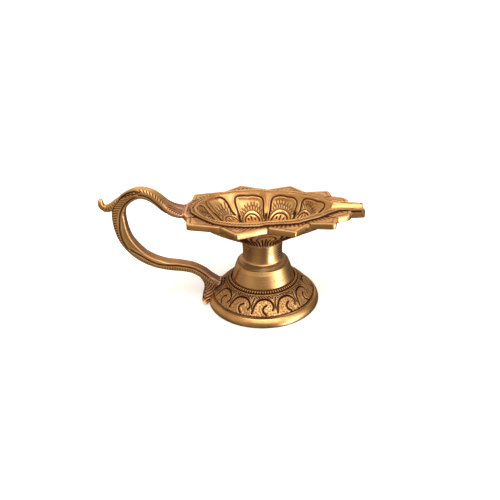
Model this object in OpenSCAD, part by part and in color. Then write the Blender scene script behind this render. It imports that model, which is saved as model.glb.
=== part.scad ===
// Lotus-shaped brass oil lamp (diya) with a looped handle.
// The lamp stands on Z = 0 with the foot's axis on Z. The wick lip points
// along +X and the handle along -X. Millimetres.

/* [Foot] */
// Radius of the plain rolled rim that the lamp stands on
foot_r = 33.4; // [32.4:0.2:35]
// Height of the rolled rim
rim_h = 5.4; // [5:0.1:5.8]
// Height of the shoulder that carries the collar
shoulder_z = 15.6; // [15:0.2:16.4]
// Height of the beaded ring round the collar's foot
bead_h = 0.8; // [0.6:0.1:1]
// Wall thickness of the hollow foot
wall = 2.6; // [2.2:0.2:3]

/* [Stem] */
// Radius of the collar where it stands on the foot
collar_r = 18.4; // [17.8:0.2:19]
// Height of the collar's side up to its bright edge
collar_h = 10.6; // [10:0.2:11]
// Radius of the spool's waist
spool_r = 11.7; // [11.3:0.1:12.1]
// Height of the spool from the collar to the bowl
spool_h = 13.4; // [12.8:0.2:14]

/* [Bowl] */
// Height of the petals' top face above the bowl's seat on the spool
petal_rise = 19.4; // [18.8:0.1:20]
// Height of the raised rim round the oil well above the petals
curb_h = 1; // [0.8:0.1:1.2]
// Depth of the oil well below the raised rim
well_depth = 13.2; // [12.6:0.2:13.6]
// Thickness of the petals at their filed edge
petal_t = 3.4; // [3:0.2:3.8]
// Reach of the wick lip in front of the foot's axis
lip_x = 57.8; // [56.4:0.2:59]

/* [Handle] */
// Scale of the handle bar's section
bar_scale = 1; // [0.9:0.05:1.05]

/* [Fastener] */
// Radius of the tie stud, an M6 thread
stud_r = 3; // [2.8:0.1:3.2]
// Width across the flats of the tie nut
nut_af = 10; // [9:1:11]

/* [Hidden] */

polished = [0.80, 0.62, 0.32];
antique = [0.70, 0.50, 0.24];
copper = [0.72, 0.45, 0.30];
steel = [0.62, 0.60, 0.56];

fine = 96;            // facets on a turned surface
clear = 0.3;          // running gap round the stud
touch = 0.05;         // gap where a leaf rests against the foot
joint_t = 0.4;        // thickness of a brazed seam
spigot_r = 8.5;       // locating spigots of the stack
spigot_h = 2;
boss_r = 6.5;         // boss under the bowl that takes the stud
boss_h = 8;
bore_rise = 2;        // how far the blind hole goes above the bowl's seat
washer_r = 8;
washer_t = 1.2;
nut_h = 5;
stud_tail = 3;        // thread left showing under the nut

groove_r = foot_r - 2.8;              // dark groove between the rolled rim and the band
band_top_r = 21.2;                    // radius where the sloping band ends
bead_r = 19.8;                        // middle radius of the beaded ring
slant_wall = 1.4 * wall;              // the wall measured level across the 45 degree band
collar_top = shoulder_z + collar_h;   // bright edge of the collar
edge_r = collar_r - 3.1;              // radius of the collar's bright edge
spool_z = collar_top + 1.1;           // the spool stands on the collar's slope
seat_z = spool_z + spool_h;
petal_z = seat_z + petal_rise;        // top face of the petals
curb_z = petal_z + curb_h;            // top of the raised rim
well_z = curb_z - well_depth;
web_z = shoulder_z - 2 * wall;        // underside of the foot's web
nut_z = web_z - washer_t - nut_h;
root_x = -44.2;                       // end face of the petal that carries the handle
lip_root_x = 32;                      // the wick lip widens into the bowl here
lip_mid_x = 46;                       // the lip's sides turn parallel here
lip_drop = 1.2;                       // fall of the lip's edges towards its tip
lip_under_z = petal_z - 6;            // underside of the lip at its root
trough_z = curb_z - 2.8;              // floor of the pouring trough

// ------------------------------------------------------------- outlines

// Half plan of the petals, from the handle's end to the wick lip
petal_half = [
    [root_x, 0], [root_x, 7], [-41.3, 12.2], [-40.6, 21.2], [-22, 25.4],
    [-13.4, 34.2], [3.6, 27.2], [17.8, 32.2], [26, 22.2], [39.8, 23.2],
    [41.3, 15.2], [47.6, 12.6], [49.3, 10.6], [49.7, 8.4], [50.4, 0]];

// Half plan of the raised rim's outer edge, one arc for each bowl panel
curb_half = [
    [-40.6, 0], [-39.4, 6.5], [-34, 13.4], [-29, 18.2], [-25, 21.6],
    [-17, 24.6], [-9, 25.8], [-1, 25.4], [2.6, 23.8], [8, 23.2], [15, 22.9],
    [20.6, 21.8], [27, 17.8], [32, 15.2], [37.6, 10.2], [42, 7], [47, 5.6]];

// Half plan of the oil well's mouth
well_half = [
    [-37.5, 0], [-36, 5.4], [-32, 11.8], [-27, 16.6], [-18, 19.9],
    [-9, 21.4], [-1, 20.9], [2.6, 19.6], [8, 18.9], [16, 18], [22, 15.6],
    [28, 11.8], [33, 9.4], [38, 5.2], [41, 3]];

// Half plan of the bowl's underside where it meets the petals
under_half = [
    [-40, 0], [-38, 8], [-33.4, 14.6], [-26.5, 19.6], [-17.6, 23.2],
    [-9, 24.4], [0, 23.8], [8.4, 22.4], [17, 20.8], [25, 17.6], [32, 13.4],
    [38.5, 8], [41, 3]];

// Handle bar, [x, z, thickness in the loop's plane, width across it], from
// the bowl over the arch and down to the foot
handle_path = [
    [-43, 58.4, 3.4, 15], [-46.5, 58.8, 3.8, 15.6], [-50.6, 60, 4.6, 13.6],
    [-55, 62.8, 5.4, 11], [-58.8, 66.4, 6, 9.4], [-62.9, 69.2, 6.2, 8.4],
    [-67.9, 70.5, 6.4, 7.4], [-72.7, 69.4, 6.6, 6.8], [-77.2, 66.6, 6.8, 6.4],
    [-80.6, 62.2, 7.6, 6.2], [-81.9, 56.5, 8.2, 6.4], [-81.4, 48.5, 8.4, 6.8],
    [-79.7, 42.3, 8.3, 7], [-77.2, 37.6, 8.2, 7], [-73.8, 33.3, 7.8, 7],
    [-69.3, 29.4, 7.2, 7], [-63.3, 26.2, 6.7, 7], [-56, 24.1, 6.1, 7],
    [-48.2, 22.9, 5.6, 7], [-41.9, 21.5, 5.4, 7], [-36.8, 18.5, 5.4, 7],
    [-32, 14.8, 5.2, 7], [-26, 10.6, 4.8, 7]];

// Leaf under the bar's lower end that clasps the foot's rim
leaf_path = [
    [-37, 17.8, 3, 5], [-34.2, 13.6, 4, 6], [-32.8, 9.6, 5, 7.6],
    [-33, 6, 5.6, 10.4], [-34.4, 3, 5.4, 15], [-35.2, 0.8, 4.8, 19]];

// Thumb curl at the back of the arch
curl_path = [
    [-76, 69, 3, 4], [-81, 65.4, 3.8, 4.6], [-85.4, 61.9, 3.8, 4.4],
    [-88.4, 60.8, 3.4, 4.2], [-90.5, 61.8, 3.2, 4], [-91.4, 63.8, 3.2, 3.6],
    [-91.3, 65.6, 2.8, 3], [-90.7, 66.8, 1.6, 1.8]];

// ------------------------------------------------------------- helpers

function catmull(a, b, c, d, t) =
    0.5 * (2 * b + (c - a) * t + (2 * a - 5 * b + 4 * c - d) * t * t
           + (3 * b - a - 3 * c + d) * t * t * t);

// A smooth curve through all the stations, with n steps between neighbours
function smooth(s, n) = [
    for (i = [0 : len(s) - 2], k = [0 : n - 1])
        catmull(s[max(i - 1, 0)], s[i], s[i + 1], s[min(i + 2, len(s) - 1)], k / n),
    s[len(s) - 1]];

// A half plan and its mirror image as one closed outline
function mirrored(half) = concat(half, [
    for (i = [len(half) - 1 : -1 : 0])
        if (half[i][1] > 0) [half[i][0], -half[i][1]]]);

// The plan outline shrunk about the axis and set at one height
function level(outline, k, z) = [for (p = outline) [p[0] * k, p[1] * k, z]];

// Signed power that squares off an ellipse
function squared(v) = sign(v) * pow(abs(v), 0.7);

// A closed solid through rings that all have the same number of points
module loft(rings) {
    n = len(rings[0]);
    last = len(rings) - 1;
    sides = [for (i = [0 : last - 1], k = [0 : n - 1])
        let (a = i * n + k, b = i * n + (k + 1) % n)
        [a, b, b + n, a + n]];
    caps = [[for (k = [n - 1 : -1 : 0]) k], [for (k = [0 : n - 1]) last * n + k]];
    polyhedron([for (r = rings, p = r) p], concat(sides, caps), convexity = 8);
}

// A bar with a squared oval section along stations in the plane Y = 0
module bar(stations, sides = 14, steps = 3) {
    s = smooth(stations, steps);
    last = len(s) - 1;
    loft([for (i = [0 : last])
        let (d = s[min(i + 1, last)] - s[max(i - 1, 0)],
             length = norm([d[0], d[1]]))
        [for (k = [0 : sides - 1])
            let (h = bar_scale * s[i][2] / 2 * squared(cos(360 * k / sides)),
                 w = bar_scale * s[i][3] / 2 * squared(sin(360 * k / sides)))
            [s[i][0] - d[1] / length * h, w, s[i][1] + d[0] / length * h]]]);
}

// ------------------------------------------------------------- castings

// Outside of the foot, a half profile grown outwards by g
module foot_envelope(g = 0) {
    rotate_extrude($fn = fine) polygon([
        [0, -g], [foot_r - 0.6 + g, -g], [foot_r + g, 0.7], [foot_r + g, 2.2],
        [foot_r - 0.5 + g, rim_h - 1.8], [foot_r - 1.4 + g, rim_h - 0.6],
        [groove_r + 0.4 + g, rim_h - 0.1], [groove_r + g, rim_h + 0.2 + g],
        [band_top_r + g, shoulder_z - 0.6 + g], [band_top_r - 0.8 + g, shoulder_z + g],
        [0, shoulder_z + g]]);
}

// Low ring round the collar's foot that carries the beads
module bead_ring() {
    rotate_extrude($fn = fine) polygon([
        [bead_r - 1.1, shoulder_z - 1], [bead_r - 1.1, shoulder_z + bead_h / 2],
        [bead_r - 0.6, shoulder_z + bead_h], [bead_r + 0.4, shoulder_z + bead_h],
        [bead_r + 1, shoulder_z], [band_top_r, shoulder_z - 0.6], [band_top_r, shoulder_z - 1]]);
}

module foot() {
    color(antique)
    difference() {
        union() {
            foot_envelope();
            bead_ring();
        }
        // hollow of the bell, open below
        rotate_extrude($fn = fine) polygon([
            [0, -1], [foot_r - 4, -1], [foot_r - 4.2, 1], [groove_r - slant_wall, rim_h - 1.8],
            [band_top_r - slant_wall, web_z - 0.4], [band_top_r - slant_wall - 1.2, web_z],
            [0, web_z]]);
        cylinder(h = shoulder_z + 1, r = stud_r + clear, $fn = fine);
        // seat for the collar's spigot
        translate([0, 0, shoulder_z - spigot_h])
            cylinder(h = spigot_h + 1, r = spigot_r, $fn = fine);
    }
}

module stem_collar() {
    color(polished)
    difference() {
        union() {
            rotate_extrude($fn = fine) polygon([
                [0, shoulder_z], [collar_r, shoulder_z], [collar_r, shoulder_z + 0.8],
                [edge_r + 0.9, collar_top - 2.2], [edge_r + 0.4, collar_top - 0.8],
                [edge_r, collar_top],
                [spool_r + 2.4, spool_z], [0, spool_z]]);
            translate([0, 0, shoulder_z - spigot_h])
                cylinder(h = spigot_h, r = spigot_r, $fn = fine);
        }
        translate([0, 0, shoulder_z - spigot_h - 1])
            cylinder(h = spool_z - shoulder_z + spigot_h + 2, r = stud_r + clear, $fn = fine);
        // seat for the spool's spigot
        translate([0, 0, spool_z - spigot_h])
            cylinder(h = spigot_h + 1, r = spigot_r, $fn = fine);
    }
}

module stem_spool() {
    color(polished)
    difference() {
        union() {
            rotate_extrude($fn = fine) polygon([
                [0, spool_z], [spool_r + 2.4, spool_z], [spool_r + 1.7, spool_z + 0.7],
                [spool_r + 0.5, spool_z + 1.4], [spool_r, spool_z + 2.8],
                [spool_r - 0.1, spool_z + spool_h / 2], [spool_r + 0.1, seat_z - 3],
                [spool_r + 0.4, seat_z], [0, seat_z]]);
            translate([0, 0, spool_z - spigot_h])
                cylinder(h = spigot_h, r = spigot_r, $fn = fine);
        }
        translate([0, 0, spool_z - spigot_h - 1])
            cylinder(h = spool_h + spigot_h, r = stud_r + clear, $fn = fine);
        // socket for the bowl's boss
        translate([0, 0, seat_z - boss_h])
            cylinder(h = boss_h + 1, r = boss_r, $fn = fine);
    }
}

// One cross-section of the wick lip, as a thin slice
module lip_slice(x, top, bottom, w) {
    translate([x - 0.1, -w, top - 1.6]) cube([0.2, 2 * w, 1.6]);
    translate([x - 0.1, -w / 2, bottom]) cube([0.2, w, 1]);
}

// Petals, calyx, oil well and wick lip are one casting
module lotus_bowl() {
    under = mirrored(under_half);
    well = mirrored(well_half);
    seat = [for (p = under)
        let (a = atan2(p[1], p[0]))
        [(spool_r + 0.4) * cos(a), (spool_r + 0.4) * sin(a), seat_z]];
    color(antique)
    difference() {
        union() {
            translate([0, 0, petal_z - petal_t])
                linear_extrude(petal_t) polygon(mirrored(petal_half));
            translate([0, 0, petal_z - 1])
                linear_extrude(curb_h + 1) polygon(mirrored(curb_half));
            loft([seat, level(under, 0.53, seat_z + 3), level(under, 0.73, seat_z + 7),
                  level(under, 0.91, seat_z + 12), level(under, 1, petal_z - petal_t + 1)]);
            hull() {
                lip_slice(lip_root_x, curb_z, lip_under_z, 8);
                lip_slice(lip_mid_x, curb_z, lip_under_z, 5.8);
            }
            hull() {
                lip_slice(lip_mid_x, curb_z, lip_under_z, 5.8);
                lip_slice(lip_x - 0.1, curb_z - lip_drop, lip_under_z + 0.6, 5.2);
            }
            translate([0, 0, seat_z - boss_h])
                cylinder(h = boss_h + 2, r = boss_r, $fn = fine);
        }
        loft([level(well, 0.42, well_z), level(well, 0.6, well_z + 1.4),
              level(well, 0.8, well_z + 5.6), level(well, 0.95, well_z + 10.6),
              level(well, 1, curb_z), level(well, 1.01, curb_z + 1)]);
        // trough of the wick lip
        hull() {
            translate([lip_root_x, -3.4, curb_z]) cube([1, 6.8, 2]);
            translate([lip_root_x, -2, trough_z]) cube([1, 4, 1]);
            translate([lip_x, -2.8, curb_z - lip_drop]) cube([1, 5.6, 2]);
            translate([lip_x, -1.6, trough_z]) cube([1, 3.2, 1]);
        }
        translate([0, 0, seat_z - boss_h - 1])
            cylinder(h = boss_h + 1 + bore_rise, r = stud_r, $fn = fine);
    }
}

module handle() {
    color(antique)
    difference() {
        union() {
            bar(handle_path);
            bar(leaf_path);
            bar(curl_path, sides = 12);
        }
        foot_envelope(touch);
        lower_seam();
        // the bar butts against the petal's end face
        translate([root_x - joint_t, -20, petal_z - 10]) cube([20, 40, 20]);
    }
}

// ------------------------------------------------------------- joints

// Brazed seam between the handle's root and the petal's end face
module upper_braze() {
    seam_w = 12;
    color(copper)
    translate([root_x - joint_t, -seam_w / 2, petal_z - petal_t])
        cube([joint_t, seam_w, petal_t]);
}

// The patch of the foot's band where the handle's lower end is brazed on
module lower_seam() {
    seam_w = 8.4;
    intersection() {
        foot_envelope(joint_t);
        translate([-30, -seam_w / 2, rim_h + 1.8]) cube([8, seam_w, 8]);
    }
}

// Brazed seam between the handle's lower end and the foot's band
module lower_braze() {
    color(copper)
    difference() {
        lower_seam();
        foot_envelope();
    }
}

// ------------------------------------------------------------- fastener

module tie_stud() {
    color(steel)
    translate([0, 0, nut_z - stud_tail])
        cylinder(h = seat_z + bore_rise - nut_z + stud_tail, r = stud_r, $fn = fine);
}

module tie_washer() {
    color(steel)
    translate([0, 0, web_z - washer_t])
    difference() {
        cylinder(h = washer_t, r = washer_r, $fn = fine);
        translate([0, 0, -1]) cylinder(h = washer_t + 2, r = stud_r + clear, $fn = fine);
    }
}

module tie_nut() {
    color(steel)
    translate([0, 0, nut_z])
    difference() {
        cylinder(h = nut_h, r = nut_af / sqrt(3), $fn = 6);
        translate([0, 0, -1]) cylinder(h = nut_h + 2, r = stud_r, $fn = fine);
    }
}

foot();
stem_collar();
stem_spool();
lotus_bowl();
handle();
upper_braze();
lower_braze();
tie_stud();
tie_washer();
tie_nut();
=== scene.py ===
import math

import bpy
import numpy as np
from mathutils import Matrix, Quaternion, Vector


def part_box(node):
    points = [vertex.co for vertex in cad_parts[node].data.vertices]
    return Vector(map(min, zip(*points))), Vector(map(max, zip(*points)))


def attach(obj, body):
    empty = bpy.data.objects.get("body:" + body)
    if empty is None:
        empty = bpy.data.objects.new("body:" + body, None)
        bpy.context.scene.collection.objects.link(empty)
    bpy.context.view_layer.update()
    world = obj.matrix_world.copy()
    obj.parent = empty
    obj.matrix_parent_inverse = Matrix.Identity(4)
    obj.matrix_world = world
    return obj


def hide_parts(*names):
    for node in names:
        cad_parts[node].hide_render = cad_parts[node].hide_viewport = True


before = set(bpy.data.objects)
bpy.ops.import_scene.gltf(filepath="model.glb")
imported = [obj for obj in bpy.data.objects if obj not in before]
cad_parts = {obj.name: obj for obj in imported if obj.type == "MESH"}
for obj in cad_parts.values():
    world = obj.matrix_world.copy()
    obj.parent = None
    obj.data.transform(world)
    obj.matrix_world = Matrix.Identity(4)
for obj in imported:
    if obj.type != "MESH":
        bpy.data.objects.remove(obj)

# Lotus-shaped brass oil lamp with a looped handle. Every piece is a mesh made
# here from outlines and formulas, in millimetres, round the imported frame, and
# turned into metres when its object is made. The lamp's axis is Z, the wick lip
# points along +X and the handle along -X.

MM = 0.001
TURN = 2 * math.pi
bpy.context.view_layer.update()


def box_mm(node):
    """Lowest and highest corner of a CAD node, in millimetres."""
    low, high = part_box(node)
    return np.array(low) / MM, np.array(high) / MM


FOOT_R, _, BEAD_TOP = box_mm("foot")[1]
COLLAR_R, _, SPOOL_Z = box_mm("stem_collar")[1]
SEAT_Z = box_mm("stem_spool")[1][2]
LIP_X, _, CURB_Z = box_mm("lotus_bowl")[1]
ROOT_X = box_mm("upper_braze")[1][0]
SHOULDER_Z = BEAD_TOP - 0.8  # seat of the collar, inside the beaded ring
PETAL_Z = CURB_Z - 1.0  # top face of the petals
PETAL_T = 3.4  # thickness of a petal's filed edge
WELL_Z = CURB_Z - 13.2  # floor of the oil well
TROUGH_DEPTH = 2.8  # of the lip's trough below the rim
CALYX_TOP = PETAL_Z - 2.4  # where the bowl's underside would meet the petals' plane

# ---- outlines
# Half plans of the casting, [x, y], from the handle's end to the wick lip, and of the
# lip itself, from where it leaves the bowl

PETAL_HALF = [
    (-44.2, 0), (-44.2, 7), (-41.3, 12.2), (-40.6, 21.2), (-22, 25.4), (-13.4, 34.2),
    (3.6, 27.2), (17.8, 32.2), (26, 22.2), (39.8, 23.2), (41.3, 15.2), (47.6, 12.6),
    (49.3, 10.6), (49.7, 8.4), (50.4, 0)]
CURB_HALF = [
    (-40.6, 0), (-39.4, 6.5), (-34, 13.4), (-29, 18.2), (-25, 21.6), (-17, 24.6),
    (-9, 25.8), (-1, 25.4), (2.6, 23.8), (8, 23.2), (15, 22.9), (20.6, 21.8),
    (27, 17.8), (32, 15.2), (37.6, 10.2), (42, 7), (47, 5.6), (47, 0)]
WELL_HALF = [
    (-37.5, 0), (-36, 5.4), (-32, 11.8), (-27, 16.6), (-18, 19.9), (-9, 21.4),
    (-1, 20.9), (2.6, 19.6), (8, 18.9), (16, 18), (22, 15.6), (28, 11.8), (33, 9.4),
    (38, 5.2), (41, 3), (41.4, 0)]
UNDER_HALF = [
    (-40, 0), (-38, 8), (-33.4, 14.6), (-26.5, 19.6), (-17.6, 23.2), (-9, 24.4),
    (0, 23.8), (8.4, 22.4), (17, 20.8), (25, 17.6), (32, 13.4), (38.5, 8), (41, 3),
    (41.4, 0)]
LIP_HALF = [(32, 8), (46, 5.8), (LIP_X, 5.2), (LIP_X, 0)]
TROUGH_HALF = [(32, 3.4), (LIP_X, 2.8), (LIP_X, 0)]
# Heights along the lip, [x, z]: the raised rim's top and the underside
RIM_TOP = [(42, CURB_Z), (LIP_X, CURB_Z - 1.2)]
LIP_UNDER = [(32, PETAL_Z - 6), (LIP_X, PETAL_Z - 5.4)]

# Ornament of the well, drawn in half plan: one engraved outline for each panel, the
# half-round at its foot as [middle x, middle y, half width, height, bearing in
# degrees], and the deep cuts at the feet of the ribs between the panels
PANEL_LINES = [
    [(-26.5, 3.2), (-30, 4.9), (-33.2, 6.2), (-35.1, 5), (-36.2, 2.8), (-36.5, 0)],
    [(-26.4, 6.4), (-31.2, 8.4), (-32.3, 10.2), (-30.6, 12.4), (-26.6, 15.9), (-23.2, 16.8),
     (-20.8, 16.2), (-19, 14.8), (-17.6, 13.2), (-15.6, 12)],
    [(-13.2, 11.6), (-14.6, 14.6), (-15.9, 17), (-16.3, 18.4), (-14.4, 19.5), (-8.1, 20.3),
     (-2, 19.8), (0.2, 18.8), (0.8, 17.4), (0.6, 15.4), (0.9, 12.8), (1.2, 10.6)],
    [(3.4, 10.4), (4.3, 13), (5, 15.2), (5.3, 16.8), (6.5, 17.8), (9.5, 18), (14.2, 17.4),
     (18.4, 15.9), (20.3, 14.4), (20.5, 12.9), (19.4, 11.2), (18.2, 9.6)],
    [(20.6, 8.2), (22.2, 9.8), (22.8, 11.6), (23.6, 12.6), (25.2, 12.6), (28.4, 11), (31.6, 9.2),
     (34.6, 7), (35.9, 5.4), (35.4, 4.2), (32.6, 3.7)]]
ROUNDS = [(-27.4, 0, 3.4, 5, 180), (-17.6, 6.4, 5.2, 5.4, 134), (-5.8, 8.8, 5.9, 6.8, 101),
          (10.2, 8.2, 6.5, 5.9, 72), (23.6, 4.6, 4.8, 4.6, 45)]
RIB_FEET = [[(1.9, 7.6), (2.4, 12.6)], [(-12.6, 7.4), (-13.6, 12)], [(17.4, 5.4), (19.4, 9.8)],
            [(-23.6, 5), (-25.4, 6.6)]]

# Handle bar: [x, z, thickness in the loop's plane, width across it], from the
# bowl over the arch and down to the foot
HANDLE_PATH = [
    (-43, 58.4, 3.4, 15), (-46.5, 58.8, 3.8, 15.6), (-50.6, 60, 4.6, 13.6),
    (-55, 62.8, 5.4, 11), (-58.8, 66.4, 6, 9.4), (-62.9, 69.2, 6.2, 8.4),
    (-67.9, 70.5, 6.4, 7.4), (-72.7, 69.4, 6.6, 6.8), (-77.2, 66.6, 6.8, 6.4),
    (-80.6, 62.2, 7.6, 6.2), (-81.9, 56.5, 8.2, 6.4), (-81.4, 48.5, 8.4, 6.8),
    (-79.7, 42.3, 8.3, 7), (-77.2, 37.6, 8.2, 7), (-73.8, 33.3, 7.8, 7),
    (-69.3, 29.4, 7.2, 7), (-63.3, 26.2, 6.7, 7), (-56, 24.1, 6.1, 7),
    (-48.2, 22.9, 5.6, 7), (-41.9, 21.5, 5.4, 7), (-36.8, 18.5, 5.4, 7),
    (-32, 14.8, 5.2, 7), (-27, 11.4, 4.8, 7)]
LEAF_PATH = [
    (-39.6, 20, 3, 5), (-35.8, 16.8, 5.4, 6), (-33, 13, 7, 6.8), (-31.9, 9.8, 7.8, 7.8),
    (-32.4, 6.8, 7.4, 9.4), (-33.9, 3.8, 6.4, 13.6), (-35.1, 1.7, 5, 18.2)]
CURL_PATH = [
    (-76, 69, 3, 4), (-81, 65.2, 4.6, 5), (-85.4, 62, 4.8, 5),
    (-88.4, 61.2, 4.2, 4.6), (-90.4, 62, 3.6, 4.2), (-91.4, 63.8, 3.2, 3.8),
    (-91.3, 65.6, 2.8, 3), (-90.7, 66.8, 1.6, 1.8)]

# ---- helpers


def ramp(start, end, value):
    """0 before start, 1 after end, with a smooth rise between them."""
    t = np.clip((value - start) / (end - start), 0, 1)
    return t * t * (3 - 2 * t)


def line_at(distance, width):
    """1 on a cut line, falling to 0 a little more than its width away."""
    return np.exp(-(distance / width) ** 2)


def ink(groove):
    """Dark staining that fills a groove to its brim."""
    return 1 - (1 - np.clip(groove, 0, 1)) ** 2.4


def waves(points, length, seed):
    """Smooth handmade unevenness, about -1 to 1, with waves of about the given length."""
    random = np.random.default_rng(seed)
    total = 0
    for _ in range(12):
        direction = random.normal(size=3)
        direction /= np.linalg.norm(direction)
        step = length * random.uniform(0.6, 1.7)
        total = total + np.sin(points @ direction * (TURN / step) + random.uniform(0, TURN))
    return total / 5


def scatter(across, along, pitch, seed):
    """Distance to the nearest of a field of punched dots, which sit near a square grid's points."""
    random = np.random.default_rng(seed)
    table = random.uniform(-0.36, 0.36, size=(2, 64, 64))
    column = np.floor(across / pitch).astype(int)
    row = np.floor(along / pitch).astype(int)
    nearest = np.full(np.shape(across), 1e9)
    for i in (-1, 0, 1):
        for j in (-1, 0, 1):
            jitter = table[:, (column + i) % 64, (row + j) % 64]
            x = (column + i + 0.5 + jitter[0]) * pitch
            y = (row + j + 0.5 + jitter[1]) * pitch
            nearest = np.minimum(nearest, np.hypot(across - x, along - y))
    return nearest


def smooth_path(points, count):
    """Points spread evenly by length along a Catmull-Rom curve, and the length at each."""
    p = np.array(points, float)
    p = np.vstack([2 * p[0] - p[1], p, 2 * p[-1] - p[-2]])
    t = np.linspace(0, 1, 20, endpoint=False)[:, None]
    spans = []
    for a, b, c, d in zip(p[:-3], p[1:-2], p[2:-1], p[3:]):
        spans.append(0.5 * (2 * b + (c - a) * t + (2 * a - 5 * b + 4 * c - d) * t ** 2
                            + (3 * b - a - 3 * c + d) * t ** 3))
    dense = np.vstack(spans + [p[-2:-1]])
    length = np.concatenate([[0], np.cumsum(np.hypot(*np.diff(dense[:, :2], axis=0).T))])
    even = np.linspace(0, length[-1], count)
    return np.stack([np.interp(even, length, column) for column in dense.T], axis=1), even


def unit(vectors):
    """The vectors brought to length 1."""
    return vectors / np.maximum(np.linalg.norm(vectors, axis=-1, keepdims=True), 1e-9)


def azimuths(columns):
    """Even azimuths once round the axis."""
    return np.linspace(-math.pi, math.pi, columns, endpoint=False)


def follow(track, at):
    """Value of a track, [place, value], at a place along it; its ends carry on level."""
    return np.interp(at, *zip(*track))


def strokes_at(value, pitch, width):
    """Cut lines at every pitch of a value."""
    return line_at((value / pitch % 1 - 0.5) * pitch, width)


def distance_to_lines(points, lines):
    """Distance from each point to the nearest of several open lines, in plan or in space."""
    nearest = np.full(points.shape[:-1], 1e9)
    for line in lines:
        for start, end in zip(np.array(line[:-1], float), line[1:]):
            step = end - start
            t = np.clip((points - start) @ step / max(step @ step, 1e-9), 0, 1)
            away = points - start - t[..., None] * step
            nearest = np.minimum(nearest, np.einsum("...k,...k->...", away, away))
    return np.sqrt(nearest)


def inside_outline(x, y, outline):
    """True where a point lies inside the closed outline."""
    inside = np.zeros(np.shape(x), bool)
    for (x0, y0), (x1, y1) in zip(outline, np.roll(outline, -1, 0)):
        crosses = (y0 > y) != (y1 > y)
        at = x0 + (y - y0) * (x1 - x0) / (y1 - y0 if y1 != y0 else 1e-9)
        inside ^= crosses & (x < at)
    return inside


def reach(half_plan, azimuth):
    """Distance from the axis to the outline along each azimuth, both halves alike."""
    ray_x = np.cos(azimuth)
    ray_y = np.abs(np.sin(azimuth))
    best = np.zeros_like(azimuth)
    for (x0, y0), (x1, y1) in zip(half_plan[:-1], half_plan[1:]):
        dx, dy = x1 - x0, y1 - y0
        cross = ray_x * dy - ray_y * dx
        cross = np.where(np.abs(cross) < 1e-9, 1e-9, cross)
        distance = (x0 * dy - y0 * dx) / cross
        t = (x0 * ray_y - y0 * ray_x) / cross
        hit = (t > -1e-6) & (t < 1 + 1e-6) & (distance > 0)
        best = np.where(hit, np.maximum(best, distance), best)
    return best


def hermite(value, knots, levels):
    """Smooth interpolation, at one value, through arrays of levels given at the knots."""
    levels = np.array(levels)
    slope = np.gradient(levels, knots, axis=0)
    k = int(np.clip(np.searchsorted(knots, value) - 1, 0, len(knots) - 2))
    h = knots[k + 1] - knots[k]
    t = (value - knots[k]) / h
    return (levels[k] * (1 + 2 * t) * (1 - t) ** 2 + slope[k] * h * t * (1 - t) ** 2
            + levels[k + 1] * t * t * (3 - 2 * t) + slope[k + 1] * h * t * t * (t - 1))


def add_object(name, data):
    obj = bpy.data.objects.new(name, data)
    bpy.context.collection.objects.link(obj)
    return obj


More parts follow.
